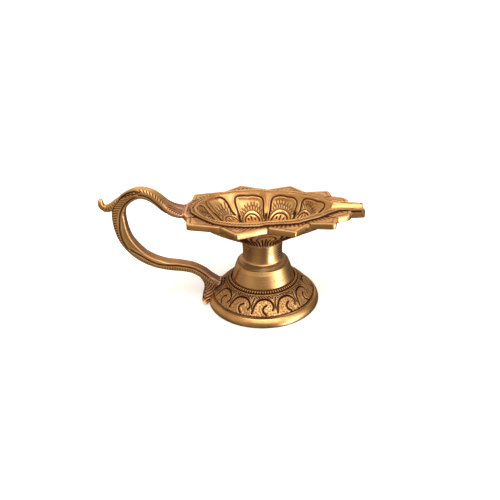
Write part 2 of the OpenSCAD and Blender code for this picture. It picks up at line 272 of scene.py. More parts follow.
class Skin:
    """Rows of points round a piece, each point with its relief and its finish."""

    # The dark mark holds the black-brown of the real cuts and hollows, and painted shade on some faces.
    MARKS = ("relief", "patina", "dull", "copper")

    def __init__(self, azimuth):
        self.azimuth = azimuth
        self.cos, self.sin = np.cos(azimuth), np.sin(azimuth)
        self.rows = []
        self.marks = {mark: [] for mark in self.MARKS}

    def plan(self, radius):
        """X and Y at a distance from the axis along each azimuth."""
        return radius * self.cos, radius * self.sin

    def add(self, x, y, z, **marks):
        shape = self.azimuth.shape
        self.rows.append(np.stack([np.broadcast_to(c, shape) for c in (x, y, z)], axis=1))
        for mark in self.MARKS:
            self.marks[mark].append(np.broadcast_to(marks.get(mark, 0), shape))

    def ring(self, radius, height, **marks):
        self.add(*self.plan(radius), height, **marks)

    def roughen(self, amount, length, seed):
        """The slight waviness of a hand-finished casting, never outside its true size."""
        rise = (np.tanh(waves(np.array(self.rows), length, seed)) - 1) * amount
        self.marks["relief"] = np.array(self.marks["relief"]) + rise

    def redden(self, place, far, near, amount):
        """Copper tint round a brazed joint."""
        away = np.linalg.norm(np.array(self.rows) - place, axis=2)
        self.marks["copper"] = np.clip(amount * ramp(far, near, away), 0, 1)

    def arrays(self, closed):
        """Points with the relief raised along the surface's own normal, and the marks."""
        points = np.array(self.rows, float)
        marks = {mark: np.array(rows, float) for mark, rows in self.marks.items()}
        along = np.roll(points, -1, 0) - np.roll(points, 1, 0)
        if not closed:
            along[0] = points[1] - points[0]
            along[-1] = points[-1] - points[-2]
        around = np.roll(points, -1, 1) - np.roll(points, 1, 1)
        return points + unit(np.cross(along, around)) * marks["relief"][..., None], marks

    def piece(self, name, node, slot, closed=False, crease=48):
        """A watertight object that rides the lamp and stands for its CAD node. Closed, its last
        row joins its first; otherwise each end is capped."""
        points, marks = self.arrays(closed)
        rows, columns = points.shape[:2]
        index = np.arange(rows * columns).reshape(rows, columns)
        upper, lower = (index, np.roll(index, -1, 0)) if closed else (index[:-1], index[1:])
        faces = np.stack([upper, lower, np.roll(lower, -1, 1), np.roll(upper, -1, 1)], axis=-1)
        faces = faces.reshape(-1, 4).tolist()
        verts = points.reshape(-1, 3)
        values = {mark: marks[mark].reshape(-1) for mark in self.MARKS[1:]}
        if not closed:
            verts = np.vstack([verts, points[0].mean(0), points[-1].mean(0)])
            start, end = rows * columns, rows * columns + 1
            for j in range(columns):
                k = (j + 1) % columns
                faces.append([start, int(index[0, j]), int(index[0, k])])
                faces.append([end, int(index[-1, k]), int(index[-1, j])])
            values = {mark: np.append(v, [v[0], v[-1]]) for mark, v in values.items()}
        mesh = bpy.data.meshes.new(name)
        mesh.from_pydata((verts * MM).tolist(), [], faces)
        for mark, value in values.items():
            layer = mesh.attributes.new(name=mark, type="FLOAT", domain="POINT")
            layer.data.foreach_set("value", value.astype(np.float32))
        mesh.polygons.foreach_set("use_smooth", [True] * len(mesh.polygons))
        mesh.set_sharp_from_angle(angle=math.radians(crease))
        mesh.materials.append(FINISHES[slot])
        obj = add_object(name, mesh)
        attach(obj, "root")
        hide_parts(node)


# ---- materials


class Nodes:
    """A short way to write a node tree."""

    def __init__(self, tree):
        self.tree = tree

    def give(self, socket, value):
        """Link another node's output to a socket, or set the socket to a constant."""
        if isinstance(value, bpy.types.NodeSocket):
            self.tree.links.new(value, socket)
        else:
            socket.default_value = value

    def add(self, kind, result, inputs=(), **settings):
        """A new node with its settings and [socket, value] inputs; the output called result."""
        node = self.tree.nodes.new("ShaderNode" + kind)
        for name, value in settings.items():
            setattr(node, name, value)
        for name, value in inputs:
            self.give(node.inputs[name], value)
        return node.outputs[result]

    def maths(self, operation, first, second):
        return self.add("Math", "Value", enumerate((first, second)), operation=operation)

    def vectors(self, operation, result, *inputs):
        return self.add("VectorMath", result, inputs, operation=operation)


class Finish(Nodes):
    """Node tree of a material on the standard surface shader; its textures keep to the object."""

    def __init__(self, name):
        self.material = bpy.data.materials.new(name)
        self.material.use_nodes = True
        super().__init__(self.material.node_tree)
        self.place = self.add("TexCoord", "Object")

    def attribute(self, name):
        return self.add("Attribute", "Fac", attribute_name=name)

    def noise(self, scale, detail, stretch=(1, 1, 1)):
        place = self.add("Mapping", "Vector", (("Vector", self.place), ("Scale", stretch)))
        return self.add("TexNoise", "Fac", (("Vector", place), ("Scale", scale), ("Detail", detail)))

    def spread(self, value, from_low, from_high, to_low, to_high):
        names = ("Value", "From Min", "From Max", "To Min", "To Max")
        return self.add("MapRange", "Result", zip(names, (value, from_low, from_high, to_low, to_high)))

    def mix(self, factor, first, second):
        inputs = (("Factor", factor), ("A", first), ("B", second))
        return self.add("Mix", "Result", inputs, data_type="RGBA")

    def bump(self, height, distance, strength):
        inputs = (("Height", height), ("Distance", distance), ("Strength", strength))
        return self.add("Bump", "Normal", inputs)

    def surface(self, inputs):
        """Feed the shader's sockets, and give the finished material."""
        for name, value in inputs.items():
            self.give(self.tree.nodes["Principled BSDF"].inputs[name], value)
        return self.material


BRASS = (0.88, 0.51, 0.20, 1)
BRASS_DEEP = (0.70, 0.37, 0.13, 1)
BRASS_DULL = (0.60, 0.32, 0.15, 1)
COPPER = (0.64, 0.37, 0.25, 1)
FLUX = (0.12, 0.05, 0.03, 1)
# black-brown of the cuts, also the colour of the painted shade
PATINA_AND_SHADE = (0.040, 0.007, 0.004, 1)
STEEL = (0.52, 0.51, 0.49, 1)
STEEL_WORN = (0.30, 0.22, 0.15, 1)


def cast_brass():
    """Antiqued casting: polished high spots, warm worn faces, black-brown in the cuts and dark painted
    shade where a piece marks it.
    """
    m = Finish("cast_brass")
    blotch = m.spread(m.noise(160, 4), 0.35, 0.7, 0, 1)
    dull = m.attribute("dull")
    colour = m.mix(dull, m.mix(blotch, BRASS, BRASS_DEEP), BRASS_DULL)
    colour = m.mix(m.attribute("copper"), colour, COPPER)
    specks = m.spread(m.noise(900, 2), 0.62, 0.74, 0, 0.35)
    dark = m.maths("MAXIMUM", m.attribute("patina"), specks)
    rough = m.maths("ADD", m.spread(blotch, 0, 1, 0.25, 0.36), m.spread(dull, 0, 1, 0, 0.14))
    return m.surface({
        "Base Color": m.mix(dark, colour, PATINA_AND_SHADE),
        "Metallic": m.spread(dark, 0, 1, 1, 0.3),
        "Roughness": m.maths("ADD", rough, m.spread(dark, 0, 1, 0, 0.3)),
        "Specular IOR Level": 0,
        "Normal": m.bump(m.noise(1500, 3), 0.00008, 0.5)})


def turned_brass():
    """Lathe-turned and polished: fine rings round the axis and a few dark pits."""
    m = Finish("turned_brass")
    rings = m.noise(500, 3, stretch=(0.05, 0.05, 3.0))
    # random darker stains on the turned brass
    darkening = m.spread(m.noise(95, 4), 0.42, 0.75, 0, 0.75)
    pits = m.spread(m.noise(420, 2), 0.66, 0.75, 0, 0.7)
    # the dark mark also holds painted shade on the turned flares
    dark = m.maths("MAXIMUM", m.attribute("patina"), pits)
    return m.surface({
        "Base Color": m.mix(dark, m.mix(darkening, BRASS, BRASS_DEEP), PATINA_AND_SHADE),
        "Metallic": m.spread(dark, 0, 1, 1, 0.3),
        "Roughness": m.spread(rings, 0.3, 0.7, 0.22, 0.29),
        "Specular IOR Level": 0.1,
        "Coat Weight": 0.25,
        "Coat Roughness": 0.2,
        "Normal": m.bump(rings, 0.000006, 0.5)})


def braze_metal():
    """Rough brazing alloy, pinker than the brass, dark where the flux stayed."""
    m = Finish("braze")
    flux = m.spread(m.noise(700, 4), 0.48, 0.7, 0, 0.8)
    return m.surface({
        "Base Color": m.mix(flux, COPPER, FLUX),
        "Metallic": m.spread(flux, 0, 1, 1, 0.5),
        "Roughness": m.spread(flux, 0, 1, 0.36, 0.6),
        "Normal": m.bump(m.noise(1100, 3), 0.0001, 0.6)})


def plain_steel():
    """Zinc-grey fastener steel with worn, slightly brown patches."""
    m = Finish("steel")
    worn = m.spread(m.noise(420, 4), 0.45, 0.72, 0, 1)
    return m.surface({
        "Base Color": m.mix(worn, STEEL, STEEL_WORN),
        "Metallic": 1,
        "Roughness": m.spread(worn, 0, 1, 0.34, 0.6),
        "Normal": m.bump(m.noise(1400, 3), 0.00005, 0.5)})


FINISHES = {"cast_brass": cast_brass(), "turned_brass": turned_brass(), "braze": braze_metal(),
            "steel": plain_steel()}


def pale_floor():
    """Matt pale paper with a very faint tooth."""
    m = Finish("pale_floor")
    return m.surface({
        "Base Color": m.mix(m.noise(6, 2), (0.93, 0.93, 0.93, 1), (0.96, 0.96, 0.96, 1)),
        "Roughness": 0.9,
        "Specular IOR Level": 0.1,
        "Emission Color": (1, 1, 1, 1),
        "Emission Strength": 0.35})


# ---- the bowl

BLUNTING = 0.016  # radians to each side over which the petals' corners are eased
DASH_PITCH = 1.55  # of the dashes in the raised rim's trench
HATCH_PITCH = 2.2  # of the strokes cut round the raised rim
PETAL_EDGE = [PETAL_HALF, [(x, -y) for x, y in PETAL_HALF]]
NOTCHES = [PETAL_HALF[k] for k in (2, 4, 6, 8, 10)]
NOTCH_LINES = [[(x, side * y), (0.86 * x, 0.86 * side * y)] for x, y in NOTCHES for side in (-1, 1)]
CALYX_LEAVES = 5
CALYX_BEARING = -82  # degrees, of the middle of one leaf
# Cuts of one calyx leaf's half: [degrees from its middle, share of the way up from the seat]
CALYX_CUTS = [
    [(0, 0.02), (0, 0.5)],
    [(6, 0.02), (7.6, 0.46)],
    [(13, 0), (15.5, 0.18), (17.5, 0.38), (16.5, 0.52), (11.5, 0.62), (5.5, 0.66), (0, 0.67)],
    [(20, 0), (23, 0.2), (25.5, 0.42), (24.5, 0.6), (18.5, 0.74), (9, 0.81), (0, 0.83)],
    [(27.5, 0), (30, 0.25), (32, 0.55), (30, 0.78), (23, 0.92), (12, 0.97)],
    [(36, 0), (36, 1)]]
# Share of the way up the calyx, with its mean radius and the distance from the seat there
CALYX_SHARES = (0, 0.19, 0.44, 0.75, 1)
CALYX_RADII = (12.1, 12.8, 17.6, 21.9, 23.8)
CALYX_LENGTHS = (0, 3.1, 9.3, 15.9, 20.3)
# Seat, spigot and blind bore: [radius, height above the seat]
SPIGOT = [(11.7, 0), (6.4, 0), (6.4, -7.8), (6.2, -8), (3.3, -8), (3, -7.7), (3, 2)]


def bowl_azimuths():
    """Azimuths of the bowl's columns: every corner of the plan, and even steps between them."""
    corners = PETAL_HALF[1:-1] + [LIP_HALF[2], TROUGH_HALF[1], WELL_HALF[-2]]
    corners = [math.atan2(y, x) for x, y in corners] + [math.radians(6.3)]
    stops = [-math.pi] + sorted([0] + corners + [-c for c in corners]) + [math.pi]
    columns = []
    for start, end in zip(stops[:-1], stops[1:]):
        fine = max(abs(start), abs(end)) < math.radians(11)
        step = math.radians(0.17 if fine else 0.73)
        count = max(1, round((end - start) / step))
        columns += list(np.linspace(start, end, count, endpoint=False))
    return np.array(columns)


def well_height(share):
    """Height of the plain well at a share of the way from the axis to its rim."""
    return WELL_Z + (CURB_Z - WELL_Z) * np.clip((share - 0.38) / 0.62, 0, 1) ** 2.2


def trough_height(x, y):
    """Height of the pouring trough's floor and sloping sides; far above elsewhere."""
    side = np.clip(np.abs(y) / follow(TROUGH_HALF[:2], x), 0, 1.4) ** 1.7
    floor = CURB_Z - TROUGH_DEPTH
    height = floor + side * (follow(RIM_TOP, x) - floor)
    return np.where(x > 20, height, CURB_Z + 9)


class Bowl(Skin):
    """The bowl's skin, its plan along every azimuth and the heights of its top and underside."""

    def __init__(self):
        a = bowl_azimuths()
        super().__init__(a)
        self.floor_reach = reach(WELL_HALF, a)
        self.well = np.maximum(self.floor_reach, reach(TROUGH_HALF, a))
        self.curb = np.maximum(reach(CURB_HALF, a), reach(LIP_HALF, a))
        blunt = (reach(PETAL_HALF, a - BLUNTING) + reach(PETAL_HALF, a + BLUNTING)) / 2
        self.petal = np.maximum(np.minimum(reach(PETAL_HALF, a), blunt), self.curb)
        self.curb = np.minimum(self.curb, self.petal - 0.5)
        self.well = np.minimum(self.well, self.curb - 0.02)
        self.under = reach(UNDER_HALF, a)

    def top_height(self, radius):
        x, y = self.plan(radius)
        well = well_height(np.clip(radius / self.floor_reach, 0, 1))
        trough = trough_height(x, y)
        joined = np.minimum(well, trough) - 0.3 * np.exp(-np.abs(well - trough) / 0.5)
        return np.minimum(joined, follow(RIM_TOP, x))

    def bottom_height(self, radius):
        """Underside of the petals, lower where the lip is."""
        x, y = self.plan(radius)
        width = follow(LIP_HALF[:3], x)
        inside = (1 - ramp(width - 0.9, width + 0.1, np.abs(y))) * (x > 30)
        return (PETAL_Z - PETAL_T) * (1 - inside) + follow(LIP_UNDER, x) * inside

    def under_reach(self, height):
        """Distance from the axis to the calyx at a height."""
        share = round((height - SEAT_Z) / (CALYX_TOP - SEAT_Z), 4)
        seat = np.full_like(self.under, CALYX_RADII[0])
        levels = [seat] + [part * self.under for part in (0.53, 0.73, 0.91, 1)]
        return hermite(share, [0, 3 / 17, 7 / 17, 12 / 17, 1], levels)


def on_well(line):
    """A line in plan, lifted onto the well's wall."""
    x, y = np.array(line, float).T
    share = np.hypot(x, y) / reach(WELL_HALF, np.arctan2(y, x))
    return np.column_stack([x, y, well_height(share)])


def heading(degrees):
    """Unit vector in plan along a bearing."""
    return np.array([math.cos(math.radians(degrees)), math.sin(math.radians(degrees))])


def half_round(x, y, half_width, height, bearing, size=1):
    """An arch in plan whose crown points along its bearing, with short straight legs."""
    across = size * half_width * heading(bearing - 90)
    crown = size * height * heading(bearing)
    arc = [(-math.cos(a), math.sin(a)) for a in np.linspace(0, math.pi, 15)]
    points = [(-1, -0.45)] + arc + [(1, -0.45)]
    return np.array([(x, y) + u * across + v * crown for u, v in points])


def fan(x, y, half_width, height, bearing):
    """Fine strokes in two staggered tiers that spread outwards from a half-round."""
    strokes = []
    stretch = np.interp(bearing, (100, 134, 180), (1, 1.9, 1))
    for tier, (gap, length, spread) in enumerate(((0.6, 1.15, 7), (1.5 * stretch, 1.2, 4))):
        for k in range(-spread, spread + 1):
            turn = 11.5 * (k + 0.5 * tier)
            lean, ray = math.radians(turn), heading(bearing - turn)
            start = math.hypot(half_width * math.sin(lean), height * math.cos(lean)) + gap
            end = start + stretch * length * math.cos(0.8 * lean)
            strokes.append([(x, y) + ray * start, (x, y) + ray * end])
    return strokes


def well_ornament(points):
    """Relief and dark marks of the well: recessed panels, half-rounds at their feet and fans, and painted
    shade round each half-round.
    """
    x, y = points[..., 0], np.abs(points[..., 1])
    folded = np.stack([x, y, points[..., 2]], axis=-1)

    def near(lines):
        return distance_to_lines(folded, [on_well(line) for line in lines])

    def within(outlines):
        return np.any([inside_outline(x, y, line) for line in outlines], axis=0)

    panels = [smooth_path(line, 26)[0] for line in PANEL_LINES]
    mouths = [np.linspace(line[0], line[-1], 6) for line in panels]
    arches = [half_round(*r) for r in ROUNDS]
    strokes = []
    for middle_x, middle_y, half_width, height, bearing in ROUNDS:
        for u, low, high in ((-0.34, 0.05, 0.3), (-0.02, -0.05, 0.46), (0.32, 0.0, 0.26)):
            foot = (middle_x, middle_y) + u * half_width * heading(bearing - 90)
            strokes.append([foot + share * height * heading(bearing) for share in (low, high)])
    inside, in_round = within(panels), within(arches)
    gap, from_arch = near(panels), near(arches)
    signed = np.where(inside, -gap, gap)
    fans = near([stroke for r in ROUNDS for stroke in fan(*r)])

    recess = ramp(-0.1, -3.0, signed) * ramp(0.1, 2.8, near(mouths)) * ~in_round
    recess = recess * (1 - 0.6 * ramp(-17, -24, x))
    outline = line_at(signed + 0.1, 0.48)
    second = line_at(signed - 1.45, 0.26) * ~in_round
    arch = line_at(from_arch, 0.34)
    inner_arch = line_at(near([half_round(*r, 0.7) for r in ROUNDS]), 0.4)
    stroke = line_at(near(strokes), 0.4)
    rays = line_at(fans, 0.26 + 0.08 * ramp(-14, -20, x)) * inside * ~in_round
    foot = line_at(near(RIB_FEET), 0.8)
    # painted shade: darker round each half-round, inside its panel
    shade = np.exp(-from_arch / 2.6) * inside * ~in_round
    relief = (-0.6 * recess + 0.6 * in_round * ramp(0.0, 0.6, from_arch) - 0.6 * outline
              - 0.14 * second - 0.45 * arch - 0.42 * inner_arch - 0.4 * stroke - 0.26 * rays - 0.6 * foot)
    return relief, np.maximum.reduce([ink(outline), 0.35 * second, 0.8 * ink(arch), ink(inner_arch),
                                      ink(stroke), 0.95 * ink(rays), ink(foot), 0.46 * shade])


def bowl_top(bowl):
    """The oil well, the trough and the raised rim round them."""
    shares = np.concatenate([np.linspace(0.03, 0.3, 5), np.linspace(0.34, 0.992, 62)])
    rows = []
    for s in shares:
        radius = s * bowl.well
        rows.append(np.stack([*bowl.plan(radius), bowl.top_height(radius)]))
    relief, patina = well_ornament(np.stack(rows).transpose(0, 2, 1))
    for s, (x, y, z), raised, dark in zip(shares, rows, relief, patina):
        on_wall = ramp(1.0, 0.97, s) * (trough_height(x, y) > z + 0.2)
        # darker towards the middle of the well; towards the lip, painted shade in the trough that dims its
        # bright reflection
        darkening = np.maximum(0.2 * ramp(0.45, 0.3, s), 0.15 * (1 - on_wall) * ramp(34, 40, x))
        bowl.add(x, y, z, relief=raised * on_wall, patina=np.maximum(dark * on_wall, darkening))
    width = bowl.curb - bowl.well
    x, y = bowl.plan((bowl.well + bowl.curb) / 2)
    steps = np.hypot(np.diff(x, append=0), np.diff(y, append=0))
    steps[-1] = 0.3  # the step that closes the ring
    phase = np.cumsum(steps) / DASH_PITCH % 1
    dash = ramp(0.1, 0.3, phase) * ramp(0.9, 0.7, phase)
    dash = 0.5 + (dash - 0.5) * ramp(48, 45, x)
    wide = ramp(0.8, 2.0, width)
    for c in np.linspace(0, 1, 17):
        radius = bowl.well + width * c
        edge = ramp(0.1, 0.0, c) + ramp(0.9, 1.0, c)
        trench = ramp(0.24, 0.38, c) * ramp(0.74, 0.6, c)
        outer_cut = line_at(c - 0.84, 0.05)
        relief = -0.35 * edge - 0.3 * trench - 0.3 * trench * dash - 0.2 * outer_cut
        patina = np.clip(0.25 * trench + 0.9 * trench * dash + 0.45 * outer_cut, 0, 1)
        bowl.ring(radius, bowl.top_height(radius), relief=wide * relief, patina=wide * patina, dull=0.3)


def bowl_petals(bowl):
    """The petals' top faces, from the foot of the raised rim to the filed edges."""
    start, end = bowl.curb, bowl.petal - 0.28
    rim = bowl.top_height(start)
    rim_x, rim_y = bowl.plan(start)
    walled = ramp(0.8, 0.2, follow(RIM_TOP, rim_x) - rim)
    foot_z = np.minimum(PETAL_Z, rim - 0.4)
    lap = np.minimum(0.35, (end - start) * 0.4)
    # painted shadow: the step from the raised rim down to the petals darkened where the rim stands at full
    # height
    for share, depth in ((0.5, 0.35), (1.0, 1.0)):
        bowl.ring(start + lap * share, rim + (foot_z - rim) * depth,
                  relief=-0.2, patina=0.3 + 0.65 * walled, dull=walled)
    rim_length = np.cumsum(np.hypot(np.gradient(rim_x), np.gradient(rim_y)))
    wide = ramp(1.5, 3.5, end - start)
    hatch_end = 3.2 + 1.8 * np.sin(rim_length * 0.23) ** 2
    for c in np.linspace(0.06, 1, 18):
        radius = start + lap + (end - start - lap) * c
        x, y = bowl.plan(radius)
        place = np.stack([x, y], axis=-1)
        from_edge = distance_to_lines(place, PETAL_EDGE)
        from_rim = radius - start
        worn = 0.25 + 0.6 * ramp(-0.5, 0.5, waves(np.stack([x, y, 0 * x], axis=-1), 7, 15))
        contour = worn * line_at(from_edge - 2.2, 0.3) * wide * ramp(0.4, 1.2, from_rim)
        notch = line_at(distance_to_lines(place, NOTCH_LINES), 0.5) * wide
        hatch = strokes_at(rim_length + 0.25 * HATCH_PITCH * from_rim, HATCH_PITCH, 0.44)
        hatch = hatch * ramp(hatch_end, hatch_end - 0.6, from_rim) * ramp(2.3, 2.9, from_edge) * wide
        # painted shadow in the shallow channel at the rim's foot, stronger on the lip's side; the engraved
        # lines beside it are real dark cuts
        under_lip = 0.45 + 0.55 * ramp(-3, 3, x) * np.maximum(ramp(22, 15, x), ramp(25, 32, x))
        gutter = line_at(from_rim - 0.4, 0.55) * under_lip
        groove = np.clip(contour + notch + 0.85 * hatch, 0, 1)
        bowl.add(x, y, foot_z, relief=-0.34 * groove - 0.3 * gutter,
                 patina=np.clip(0.9 * ink(groove) + 0.95 * gutter, 0, 1),
                 dull=0.5 * ramp(0.6, 1.6, from_edge))
    return foot_z


def bowl_edge(bowl, foot_z):
    """Filed outer edge, with a narrow bevel above and below and a band of painted shadow along the lip's
    end, under its rim.
    """
    low = bowl.bottom_height(bowl.petal - 0.3)
    taper = 0.7 + 0.7 * ramp(56, 44, bowl.plan(bowl.petal)[0])
    rows = ((0.12, foot_z - 0.1, 0), (0, foot_z - 0.35, 1), (0, foot_z - 0.35 - taper, 1),
            (0, foot_z - 0.6 - taper, 0), (0, low + 0.4, 0), (0.1, low + 0.09, 0))
    for inset, height, lip_shadow in rows:
        x, y = bowl.plan(bowl.petal - inset)
        notch = line_at(distance_to_lines(np.stack([x, y], axis=-1), NOTCH_LINES), 0.45)
        # painted shadow: a dark band along the lip's end below its rim, with no cut in the surface
        cut = lip_shadow * ramp(41, 44, x) * ramp(56.4, 55.8, x) * ramp(6.6, 6.2, np.abs(y))
        bowl.add(x, y, height, relief=-0.2 * notch, patina=np.maximum(0.9 * ink(notch), cut))


def calyx_place(angle, share):
    """A place on the calyx as its distance from the leaf's middle and its distance from the seat."""
    across = angle * np.interp(share, CALYX_SHARES, CALYX_RADII)
    along = np.interp(share, CALYX_SHARES, CALYX_LENGTHS)
    return np.stack(np.broadcast_arrays(across, along), axis=-1)


def calyx_relief(azimuth, share):
    """Five leaves round the calyx, each with nested outlines and strokes from the seat, over painted shade
    that deepens towards the petals.
    """
    pitch = TURN / CALYX_LEAVES
    turn = np.abs((azimuth - math.radians(CALYX_BEARING) + pitch / 2) % pitch - pitch / 2)
    cuts = []
    for cut in CALYX_CUTS:
        u = np.linspace(0, len(cut) - 1, 4 * len(cut))
        degrees, places = (np.interp(u, range(len(cut)), values) for values in zip(*cut))
        cuts.append(calyx_place(np.radians(degrees), places))
    away = distance_to_lines(calyx_place(turn, share), cuts)
    groove = line_at(away, 0.42 + 0.14 * ramp(0.3, 0.5, turn))
    groove = groove * ramp(0.0, 0.03, share) * ramp(1.0, 0.95, share)
    # painted shade: the calyx darker overall and more so towards the petals, with the cuts darker still
    return -0.5 * groove, np.clip(ink(groove) + 0.22 + 0.2 * share, 0, 1)


def bowl_underside(bowl):
    """Underside of the petals, then the calyx down to the seat, the spigot and the blind bore; the petals'
    underside and the calyx carry painted shade.
    """
    plate_end = bowl.under_reach(PETAL_Z - PETAL_T)
    start = bowl.petal - 0.32
    bottom = bowl.bottom_height(plate_end)
    for c in np.linspace(0, 1, 10):
        radius = start + (plate_end - start) * c
        from_edge = distance_to_lines(np.stack(bowl.plan(radius), axis=-1), PETAL_EDGE)
        contour = line_at(from_edge - 2.4, 0.5) * ramp(0, 0.2, c) * ramp(1, 0.8, c)
        # painted shade under the petals, with the contour cut darker still
        bowl.ring(radius, bowl.bottom_height(radius), relief=-0.15 * contour,
                  patina=np.clip(0.45 + 0.5 * contour, 0, 1), dull=0.6)
    for share in np.linspace(0.975, 0.0, 33):
        relief, patina = calyx_relief(bowl.azimuth, share)
        bowl.ring(bowl.under_reach(SEAT_Z + (PETAL_Z - PETAL_T - SEAT_Z) * share),
                  SEAT_Z + (bottom - SEAT_Z) * share, relief=relief, patina=patina)
    for radius, height in SPIGOT:
        bowl.ring(radius, SEAT_Z + height, patina=0.2)


def make_bowl():
    bowl = Bowl()
    bowl_top(bowl)
    foot_z = bowl_petals(bowl)
    bowl_edge(bowl, foot_z)
    bowl_underside(bowl)
    bowl.roughen(amount=0.05, length=9, seed=3)
    patchy = 0.75 * (0.75 + 0.25 * waves(np.array(bowl.rows), length=6, seed=8))
    bowl.redden((ROOT_X, 0, PETAL_Z - 1.5), far=13, near=3, amount=patchy)
    bowl.piece("lotus_casting", "lotus_bowl", "cast_brass")


# ---- the foot

BORE_R = 3.6  # clearance bore for the tie stud
TOOL_MARKS = 0.006  # depth of the lathe's rings
BEADS = 84
BAND_TOP = (21.4, 14.8)  # [radius, height] at the bead ring's side
BAND_FOOT = (30.4, 5.8)
BAND_MIDDLE = 26  # radius at which the punched ground is laid out
SCROLLS = 12
SCROLL_BEARING = -88  # degrees, of the middle of one scroll
# The scroll's cuts: [share of one scroll's width, share of the way up the band]
SCROLL = [(-0.5, 0.16), (-0.43, 0.5), (-0.28, 0.74), (-0.03, 0.82), (0.2, 0.77), (0.35, 0.6),
          (0.38, 0.42), (0.31, 0.3)]
CURL = [(0.05, 0.1), (-0.06, 0.24), (-0.05, 0.42), (0.08, 0.53)]
TENDRIL = [(0.46, 0.34), (0.47, 0.62), (0.54, 0.86)]
# The foot's rolled rim and its hollow underside: [radius, height]
FOOT_ROLL = [(31.25, 5.3), (31.6, 5.15), (32, 4.8), (32.9, 3.6), (FOOT_R, 2.1), (FOOT_R, 0.75),
             (FOOT_R - 0.5, 0.1)]
FOOT_INSIDE = [(FOOT_R - 1, 0), (29.6, 0), (29.3, 0.4), (29.1, 1.2), (28.2, 2.3), (26.9, 3.7),
               (23.5, 7), (20.2, 9.3), (18.4, 10.1), (17, 10.4), (9, 10.4), (3.9, 10.4), (BORE_R, 10.7)]


def on_band(w):
    """Radius and height on the sloping band; w is 0 at the rim and 1 at the beads."""
    return [foot + (top - foot) * w for foot, top in zip(BAND_FOOT, BAND_TOP)]


def band_relief(azimuth, w):
    """Running scrolls, punched ground and hatching on the sloping band."""
    pitch = TURN / SCROLLS
    t = ((azimuth - math.radians(SCROLL_BEARING)) / pitch + 0.5) % 1 - 0.5
    run = pitch * on_band(w)[0]
    slope = math.dist(BAND_TOP, BAND_FOOT)
    place = np.stack([t * run, np.full_like(azimuth, w * slope)], axis=-1)
    groove, cut = 0, 9
    for curve, width in ((SCROLL, 0.46), (CURL, 0.46), (TENDRIL, 0.28)):
        drawn, _ = smooth_path(curve, 16)
        away = distance_to_lines(place, [(drawn + (shift, 0)) * (run, slope) for shift in (-1, 0, 1)])
        groove = np.maximum(groove, line_at(away, width))
        cut = np.minimum(cut, away)
    across, along = azimuth * BAND_MIDDLE, w * slope
    dots = line_at(scatter(across, along, pitch=1.25, seed=5), 0.34) * ramp(0.5, 1.0, cut)
    hatch = strokes_at(0.8 * across + along, 1.5, 0.3) * ramp(0.7, 0.84, w) * ramp(0.5, 1.2, cut)
    edge = ramp(0.0, 0.06, w) * ramp(1.0, 0.96, w)
    relief = (-0.5 * groove - 0.16 * dots - 0.2 * hatch + 0.18 * line_at(cut - 1.1, 0.7)) * edge
    patina = np.clip(ink(groove) + 0.85 * dots + 0.8 * hatch, 0, 1) * edge
    ground = 0.12 + 0.3 * ramp(0.5, 1.0, w)
    # darker at the band's lower edge, over a wider strip towards +X
    darker_band_foot = ramp(0.07 + 0.07 * ramp(0.2, 0.9, np.cos(azimuth)), 0.0, w)
    return relief, np.clip(patina + ground + darker_band_foot, 0, 1)


def make_foot():
    skin = Skin(azimuths(832))
    azimuth, top = skin.azimuth, SHOULDER_Z
    for radius, height in ((BORE_R, top - 2.05), (8.6, top - 2.05), (8.6, top), (18.4, top)):
        skin.ring(radius, height, patina=0.3)
    skin.ring(18.7, top - 0.05, patina=1)
    gap = 1 - np.abs(np.cos(azimuth * BEADS / 2)) ** 0.8
    for share in np.linspace(0.0, 1.0, 11):
        lift = math.sin(math.pi * share)
        patina = np.clip(1.9 * gap + 1.5 * (1 - lift) ** 2, 0, 1)
        skin.ring(18.85 + 2.0 * share, top - 0.35 * share + 0.98 * lift ** 0.7,
                  relief=-0.85 * gap * lift, patina=patina, dull=0.3)
    skin.ring(21.05, 15.0, patina=1)
    for w in np.linspace(1, 0, 54):
        relief, patina = band_relief(azimuth, w)
        belly = 0.35 * math.sin(math.pi * w)
        skin.ring(*on_band(w), relief=relief + belly, patina=patina, dull=0.12)
    gutter = 0.75 + 0.25 * np.sin(2 * azimuth + 1) * np.sin(5 * azimuth)
    for radius, height, darkening in ((30.5, 5.5, 0.8), (30.65, 5.2, 1), (30.85, 5.15, 1), (31.05, 5.25, 0.7)):
        skin.ring(radius, height, patina=darkening * gutter)
    for radius, height in smooth_path(FOOT_ROLL, 20)[0]:
        skin.ring(radius, height, patina=0.35 * ramp(31.6, 31.25, radius))
    for radius, height in FOOT_INSIDE:
        skin.ring(radius, height, patina=0.35, dull=0.8)
    skin.roughen(amount=0.04, length=11, seed=4)
    skin.redden((-29, 0, 10), far=11, near=4, amount=0.8)
    skin.piece("foot_casting", "foot", "cast_brass", closed=True)


# ---- the stem


def turned(name, node, profile, darkening):
    """A turned ring: its [radius, height] outline once round the axis, closed through the bore."""
    skin = Skin(azimuths(360))
    for (r0, z0), (r1, z1) in zip(profile, profile[1:] + profile[:1]):
        spacing = 0.3 if min(r0, r1) > 11 else 8
        steps = max(1, round(math.hypot(r1 - r0, z1 - z0) / spacing))
        for k in range(steps):
            radius = r0 + (r1 - r0) * k / steps
            height = z0 + (z1 - z0) * k / steps
            mark = -TOOL_MARKS * (1 + math.sin(height * 9.3) * math.sin(height * 3.1 + 1)) / 2
            skin.ring(radius, height, relief=mark, patina=darkening(skin.azimuth, radius, height))
    skin.piece(name, node, "turned_brass", closed=True, crease=35)


